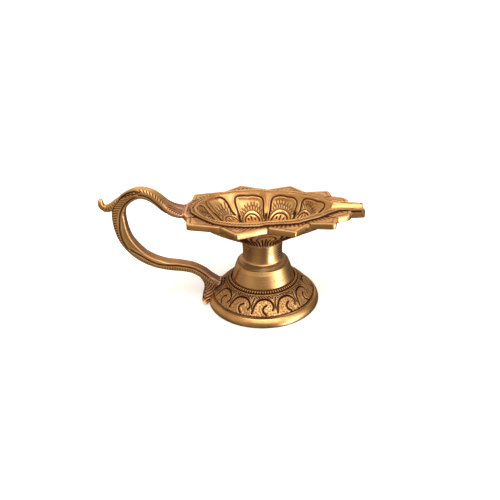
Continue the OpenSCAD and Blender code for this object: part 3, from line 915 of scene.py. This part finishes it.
def make_collar():
    top, seat = SPOOL_Z, SHOULDER_Z
    edge = top - 1.1
    profile = [(BORE_R, top - 2), (8.6, top - 2), (8.6, top), (14.1, top), (14.5, edge + 0.6),
               (14.95, edge + 0.18), (15.25, edge + 0.04), (15.36, edge - 0.06), (15.44, edge - 0.2),
               (15.62, edge - 0.8), (16.2, edge - 2.2), (COLLAR_R - 0.05, seat + 1.2),
               (COLLAR_R, seat + 0.6), (COLLAR_R - 0.2, seat), (8.5, seat), (8.5, seat - 2),
               (BORE_R, seat - 2)]

    def darkening(azimuth, radius, height):
        # the foot: dark joint on the foot's shoulder; the slope: painted shade on the upturned flare above
        # the edge, under the bowl
        foot = 0.9 * ramp(seat + 1.1, seat + 0.6, height)
        slope = 0.72 * ramp(edge - 0.05, edge + 0.08, height) + 0.2 * ramp(top - 0.3, top, height)
        return max(foot, slope * (radius > 9))

    turned("stem_collar_turned", "stem_collar", profile, darkening)


def make_spool():
    foot = SPOOL_Z
    flare = [(14.1, foot), (13.4, foot + 0.7), (12.25, foot + 1.5), (11.75, foot + 2.8),
             (11.6, foot + 6.7), (11.8, foot + 10.4), (12.05, SEAT_Z - 0.1)]
    profile = [(BORE_R, foot - 2), (8.5, foot - 2), (8.5, foot)]
    profile += [tuple(p) for p in smooth_path(flare, 44)[0]]
    profile += [(11.9, SEAT_Z), (6.6, SEAT_Z), (6.6, SEAT_Z - 8.1), (BORE_R, SEAT_Z - 8.1)]

    def darkening(azimuth, radius, height):
        # low: painted shade on the flare at the spool's foot; high: dark joint under the bowl's seat
        low = 0.72 * ramp(foot + 2.0, foot + 1.1, height) + 0.2 * ramp(foot + 0.4, foot, height)
        high = 0.6 * ramp(SEAT_Z - 0.6, SEAT_Z, height)
        return max(low, high) * (0.8 + 0.2 * np.sin(azimuth * 3 + 1))

    turned("stem_spool_turned", "stem_spool", profile, darkening)


# ---- the handle

BAR_POWER = 0.62  # how square the bar's section is; 1 would be an ellipse
TICK_PITCH = 1.5  # of the strokes along the bar's flanks
VEE_PITCH = 1.6  # of the strokes beside the joint with the bowl
CURL_PITCH = 1.75  # of the ticks on the thumb curl
LEAF_PITCH = 2.0  # of the strokes on the leaf

# Cut lines of the bar's flanks: [distance along the bar, place across it], where
# 1 is the loop's outer face and -1 its inner face
ARCH_LINE = [(10, -0.6), (14, -0.3), (19, -0.35), (24, -0.14), (29, -0.1)]
LOOP_LINE = [(32, -0.4), (38, -0.54), (44.7, -0.43), (49, -0.26), (55, 0), (60, 0.2), (65.4, 0.38),
             (70, 0.5)]
LOW_LINE = [(71.5, 0.25), (76, 0), (80, -0.14), (90, -0.02), (96, -0.25), (101, -0.48),
            (112, -0.48), (118, -0.37), (124, 0.1)]
CURL_LINE = [(28.5, 0.4), (31, 0.7), (35, 0.82), (38, 0.8), (41, 0.74), (43.5, 0.78), (47, 1)]
SHORT_LINE = [(29.5, 0.15), (32, 0.25), (34, 0.4), (36.7, 0.52), (38.2, 0.72)]
TICKS_FROM = [(15, 0.35), (29, 0.4), (32, -0.1), (38, -0.3), (45, -0.2), (49, 0.1), (55, 0.25),
              (62, 0.45), (70, 0.6), (74, 0.4), (90, 0.3), (100, -0.1)]
TICK_SLANT = [(20, 0.6), (30, 0.8), (37, 1), (45, 0.5), (52, 0.2), (60, 0.1), (128, 0.3)]
CURL_SEAM = [(1.5, 0.9), (5, 0.47), (7.8, 0.16), (10.5, -0.1), (12.4, -0.8), (13, -1.5)]


def track_line(track, at, out, thickness, width, shift=0):
    """A line that follows a track, shifted outwards, and fades out past the track's ends."""
    ends = ramp(track[0][0] - 0.8, track[0][0], at) * ramp(track[-1][0] + 0.8, track[-1][0], at)
    return line_at(out - follow(track, at) * thickness / 2 - shift, width) * ends


def bar_section(angle, thickness, width):
    """Offsets of a rounded bar's surface in the loop's plane and across it."""
    c, s = np.cos(angle), np.sin(angle)
    return (np.sign(c) * np.abs(c) ** BAR_POWER * thickness / 2,
            np.sign(s) * np.abs(s) ** BAR_POWER * width / 2)


def even_angles(columns):
    """Angles that spread the section's columns evenly round its outline."""
    dense = np.linspace(0, TURN, 4001)
    out, side = bar_section(dense, 1, 1)
    length = np.concatenate([[0], np.cumsum(np.hypot(np.diff(out), np.diff(side)))])
    return np.interp(np.linspace(0, length[-1], columns, endpoint=False), length, dense)


def stations(path, count):
    """Places along a bar's path: its [x, z, thickness, width], direction and distance along it."""
    drawn, length = smooth_path(path, count)
    return list(zip(drawn, unit(np.gradient(drawn[:, :2], axis=0)), length))


def bar_surface(place, tangent, angle):
    """Points of the bar's surface at one station."""
    x, z, thickness, width = place
    out, side = bar_section(angle, thickness, width)
    return x + tangent[1] * out, -side, z - tangent[0] * out


def sweep(path, count, columns, decorate, last_x):
    """Skin of a bar drawn along its path, from last_x on; decorate gives each station's marks."""
    skin = Skin(even_angles(columns))
    drawn = stations(path, count)
    for place, tangent, at in drawn:
        if place[0] > last_x and at < 10:
            continue
        marks = decorate(skin.azimuth, at, drawn[-1][2], *place[2:])
        skin.add(*bar_surface(place, tangent, skin.azimuth), **marks)
    return skin


def bar_marks(angle, at, total, thickness, width):
    """Cuts of the handle bar: angle 0 is its outer face, a quarter turn either way a flank."""
    out, side = bar_section(angle, thickness, width)
    q = 2 * out / thickness
    flank = ramp(0.4, 0.65, 2 * np.abs(side) / width)
    lines = [(track, 0.56) for track in (ARCH_LINE, LOOP_LINE, LOW_LINE, CURL_LINE)] + [(SHORT_LINE, 0.36)]
    bold = [track_line(track, at, out, thickness, cut_width) for track, cut_width in lines]
    bold = np.maximum.reduce(bold) * flank
    ridge = [track_line(track, at, out, thickness, 0.42, -1.15) for track in (LOOP_LINE, LOW_LINE)]
    rib = line_at(out + 0.7 * thickness / 2, 0.6) * flank * ramp(40, 48, at) + np.maximum(*ridge)
    start = follow(TICKS_FROM, at)
    end = min(0.95, follow(CURL_LINE, at)) if 29 < at < 47 else 0.95
    tick = strokes_at(at - follow(TICK_SLANT, at) * out, TICK_PITCH, 0.31) * (1 - 0.45 * ramp(70, 76, at))
    tick = tick * ramp(start, start + 0.1, q) * ramp(end, end - 0.1, q) * flank * ramp(13, 16, at)
    vee = strokes_at(at - 0.45 * VEE_PITCH * np.abs(side), VEE_PITCH, 0.34)
    vee = vee * ramp(14, 10, at) * ramp(0.4, 0.7, q) * ramp(0.8, 1.6, np.abs(side))
    # painted shade on the lower bar's inner face; the bar is also darker over its last stretch towards the
    # foot
    inner_face_shade = 0.32 * ramp(-0.85, -0.98, q) * ramp(50, 70, at) + 0.2 * ramp(total - 18, total - 8, at)
    return {"relief": -0.55 * bold - 0.16 * tick - 0.26 * vee + 0.28 * rib,
            "patina": np.maximum(0.08, np.maximum.reduce([ink(bold), ink(tick), ink(vee), inner_face_shade])),
            "copper": 0.5 * ramp(14, 3, at) + 0.5 * ramp(total - 18, total - 6, at),
            "dull": np.maximum(0.75 * ramp(-0.5, -0.95, q), 0.8 * ramp(26, 12, at))}


def curl_marks(angle, at, total, thickness, width):
    """Ticks across the thumb curl and the dark wedge between it and the bar."""
    q = 2 * bar_section(angle, thickness, width)[0] / thickness
    seam = follow(CURL_SEAM, at)
    wedge = ramp(seam + 0.08, seam - 0.1, q) * ramp(3, 5, at) * ramp(13, 12.4, at)
    tick = strokes_at(at, CURL_PITCH, 0.4) * ramp(2, 3, at) * ramp(total - 4, total - 6, at)
    tick = tick * ramp(seam, seam + 0.15, q) * ramp(0.95, 0.6, q)
    return {"relief": -0.3 * tick - 0.35 * wedge, "patina": np.clip(0.9 * ink(tick) + wedge, 0, 1)}


def leaf_marks(angle, at, total, thickness, width):
    """Bold slanted strokes on the leaf's flanks and a vein down its face."""
    out, side = bar_section(angle, thickness, width)
    face = ramp(0.15, 0.5, np.cos(angle))
    vein = line_at(side, 0.45) * face
    hatch = strokes_at(at - 0.9 * out - 0.5 * np.abs(side) * face, LEAF_PITCH, 0.46)
    groove = np.clip(vein + hatch, 0, 1) * ramp(2, 4, at) * ramp(total - 0.6, total - 1.6, at)
    return {"relief": -0.32 * groove, "patina": np.clip(ink(groove) + 0.1, 0, 1),
            "copper": 0.2, "dull": 0.3}


def make_handle():
    """The bar, the leaf at its foot and the curl for the thumb, each with its own unevenness."""
    for name, path, count, columns, marks, last_x, amount, length, seed in (
            ("handle_bar", HANDLE_PATH, 860, 88, bar_marks, ROOT_X, 0.06, 8, 11),
            ("handle_leaf", LEAF_PATH, 70, 96, leaf_marks, 0, 0.08, 5, 12),
            ("handle_curl", CURL_PATH, 90, 48, curl_marks, 0, 0.06, 4, 13)):
        skin = sweep(path, count, columns, marks, last_x)
        skin.roughen(amount, length, seed)
        skin.piece(name, "handle", "cast_brass")


# ---- brazing


def bead(name, node, loop, thickness, seed):
    """A lumpy bead of braze along a closed loop of points."""
    tangent = unit(np.roll(loop, -1, 0) - np.roll(loop, 1, 0))
    outward = loop - loop.mean(0)
    outward = unit(outward - (outward * tangent).sum(1, keepdims=True) * tangent)
    third = np.cross(tangent, outward)
    radius = (thickness * (1 + 0.3 * waves(loop, 3, seed)))[:, None]
    skin = Skin(azimuths(len(loop)))
    for angle in np.linspace(0, TURN, 14, endpoint=False):
        skin.add(*(loop + (outward * math.cos(angle) + third * math.sin(angle)) * radius).T)
    skin.piece(name, node, "braze", closed=True)


def make_brazes():
    """One bead where the bar meets the bowl's edge, one where it runs into the foot's band."""
    angle = np.linspace(0, TURN, 160, endpoint=False)
    out, side = bar_section(angle, 3.3, 14.6)
    loop = np.stack([np.full_like(angle, ROOT_X + 0.1), -side, 58.55 + out], axis=1)
    bead("upper_braze_bead", "upper_braze", loop, thickness=0.55, seed=21)
    cone = sum(BAND_FOOT) + 0.35
    low_end = stations(HANDLE_PATH, 640)[540:]
    points = []
    for a in angle:
        for place, tangent, _ in low_end:
            x, y, z = bar_surface(place, tangent, a)
            if math.hypot(x, y) + z < cone:
                break
        points.append((x, y, z))
    bead("lower_braze_bead", "lower_braze", np.array(points), thickness=0.7, seed=22)


# ---- fasteners


def make_stud():
    """The tie stud, with a 1 mm thread and a chamfer at each end."""
    (_, _, low), (radius, _, high) = box_mm("tie_stud")
    skin = Skin(azimuths(40))
    core = 0.6 * radius
    skin.ring(core, high)
    for height in np.arange(high - 0.1, low + 0.1, -0.17):
        thread = 0.9 * np.abs((height - skin.azimuth / TURN) % 1 - 0.5)
        chamfer = 0.4 * ramp(low + 0.7, low, height) + 0.4 * ramp(high - 0.7, high, height)
        skin.ring(radius - np.maximum(thread, chamfer), height)
    skin.ring(core, low)
    skin.piece("tie_stud_thread", "tie_stud", "steel")


def plain_ring(name, node, outer_at, bore, rows):
    """A ring with a bore; outer_at(azimuth, high corner, share of the height) gives its outside."""
    low, high = box_mm(node)
    skin = Skin(azimuths(144))
    skin.ring(bore, high[2])
    for share in np.linspace(1, 0, rows):
        skin.ring(outer_at(skin.azimuth, high, share), low[2] + (high[2] - low[2]) * share)
    skin.ring(bore, low[2])
    skin.piece(name, node, "steel", closed=True, crease=30)


def washer_edge(azimuth, high, share):
    return high[0] - 0.25 * (abs(share - 0.5) > 0.45)


def nut_edge(azimuth, high, share):
    """Six flats, with their corners chamfered above and below."""
    flat = min(high[0], high[1])
    sector = (azimuth + TURN / 12) % (TURN / 6) - TURN / 12
    return np.minimum(flat / np.cos(sector), flat + 0.1 + 9 * min(share, 1 - share))


# ---- stage and the view


FLOOR_SIZE = 6.0  # metres
FLOOR_CELLS = 24


def make_floor():
    """One large flat sheet just under the lamp, hidden from reflections in the brass."""
    step = np.linspace(-FLOOR_SIZE / 2, FLOOR_SIZE / 2, FLOOR_CELLS + 1)
    row = len(step)
    corners = [j * row + i for j in range(FLOOR_CELLS) for i in range(FLOOR_CELLS)]
    mesh = bpy.data.meshes.new("floor")
    mesh.from_pydata([(x, y, -0.0002) for y in step for x in step], [],
                     [(k, k + 1, k + row + 1, k + row) for k in corners])
    mesh.materials.append(pale_floor())
    floor = add_object("floor", mesh)
    floor.visible_glossy = False


def toward(azimuth, elevation):
    """Unit vector from the lamp towards a direction; azimuth 0 is in front, 90 on the lip's side."""
    a, e = math.radians(azimuth), math.radians(elevation)
    return Vector((math.sin(a) * math.cos(e), -math.cos(a) * math.cos(e), math.sin(e)))


def look_from(name, data, target, azimuth, elevation, distance, roll=0):
    """A camera or light that faces its target from a direction and a distance."""
    obj = add_object(name, data)
    back = toward(azimuth, elevation)
    obj.location = Vector(target) + back * distance
    obj.rotation_mode = "QUATERNION"
    turn = Quaternion((0, 0, 1), math.radians(roll))
    obj.rotation_quaternion = (-back).to_track_quat("-Z", "Y") @ turn
    return obj


def make_camera():
    """The photographed view: from in front and above, a little to the lip's side and rolled."""
    data = bpy.data.cameras.new("camera")
    data.lens = 42.68
    data.sensor_width = 36
    data.clip_start, data.clip_end = 0.01, 20
    bpy.context.scene.camera = look_from(
        "camera", data, target=(-0.00736, 0, 0.03289), azimuth=2.25, elevation=28.15,
        distance=0.349, roll=-1.86)


def make_overhead():
    """A soft round light above the lamp."""
    data = bpy.data.lights.new("overhead", "AREA")
    data.shape = "DISK"
    data.size = 1
    data.energy = 6
    look_from("overhead", data, target=(0, 0, 0.04), azimuth=0, elevation=80, distance=1.2)


# Soft sources round the lamp: [azimuth, elevation, sharpness, strength, colour]
WINDOW = (0.88, 0.97, 1.25)
DAYLIGHT = (1.0, 0.985, 0.96)
ROOM = (1.0, 0.84, 0.68)
SOURCES = [
    (50, -25, 70, 8.5, WINDOW),  # the window, off the bright table top
    (60, -12, 10, 1.8, DAYLIGHT),
    (66, 4, 50, 2.8, WINDOW),  # the window
    (52, 24, 10, 1.6, DAYLIGHT),
    (5, 46, 9, 1.9, DAYLIGHT),  # soft light above the camera
    (0, 90, 5, 0.4, ROOM),  # the ceiling
    (185, 27, 7, 0.98, ROOM),  # the room behind the lamp
    (-25, -28, 7, 0.2, ROOM),  # the table top on the other side
    (-55, 15, 8, 0.42, ROOM),  # a pale wall on the handle's side
    (-120, 10, 6, 0.4, ROOM)]  # the wall behind it
PALE_ROOM = (0.95, 0.945, 0.935, 1)  # beyond the floor, as the camera sees it
BACKDROP = [(0.0, 0.05), (0.3, 0.09), (0.5, 0.17), (0.7, 0.24), (1.0, 0.3)]  # [height, grey]


def make_world():
    """A dim room with a few soft sources, from the direction of each ray alone."""
    world = bpy.data.worlds.new("studio")
    bpy.context.scene.world = world
    world.use_nodes = True
    n = Nodes(world.node_tree)
    direction = n.add("TexCoord", "Generated")
    up = n.add("SeparateXYZ", "Z", (("Vector", direction),))
    height = n.add("MapRange", "Result", (("From Min", -1), ("Value", up)))
    total = n.add("ValToRGB", "Color", (("Fac", height),))
    elements = total.node.color_ramp.elements
    while len(elements) < len(BACKDROP):
        elements.new(0.5)
    for element, (place, grey) in zip(elements, BACKDROP):
        element.position = place
        element.color = (grey * ROOM[0], grey * ROOM[1], grey * ROOM[2], 1)
    for azimuth, elevation, sharpness, strength, colour in SOURCES:
        value = n.vectors("DOT_PRODUCT", "Value", (0, direction), (1, toward(azimuth, elevation)))
        for operation, amount in (("MAXIMUM", 0), ("POWER", sharpness), ("MULTIPLY", strength)):
            value = n.maths(operation, value, amount)
        glow = n.vectors("SCALE", "Vector", (0, colour), ("Scale", value))
        total = n.vectors("ADD", "Vector", (0, total), (1, glow))
    lit = n.tree.nodes["Background"]
    n.give(lit.inputs["Color"], total)
    seen = n.add("Background", "Background", (("Color", PALE_ROOM),))
    to_camera = n.add("LightPath", "Is Camera Ray")
    shown = n.add("MixShader", "Shader", (("Fac", to_camera), (1, lit.outputs["Background"]), (2, seen)))
    n.give(n.tree.nodes["World Output"].inputs["Surface"], shown)


make_bowl()
make_foot()
make_handle()
make_collar()
make_spool()
make_brazes()
make_stud()
plain_ring("tie_washer_plain", "tie_washer", washer_edge, bore=3.2, rows=6)
plain_ring("tie_nut_hex", "tie_nut", nut_edge, bore=2.9, rows=24)

make_camera()
make_floor()
make_world()
make_overhead()
bpy.context.scene.view_settings.view_transform = "Standard"
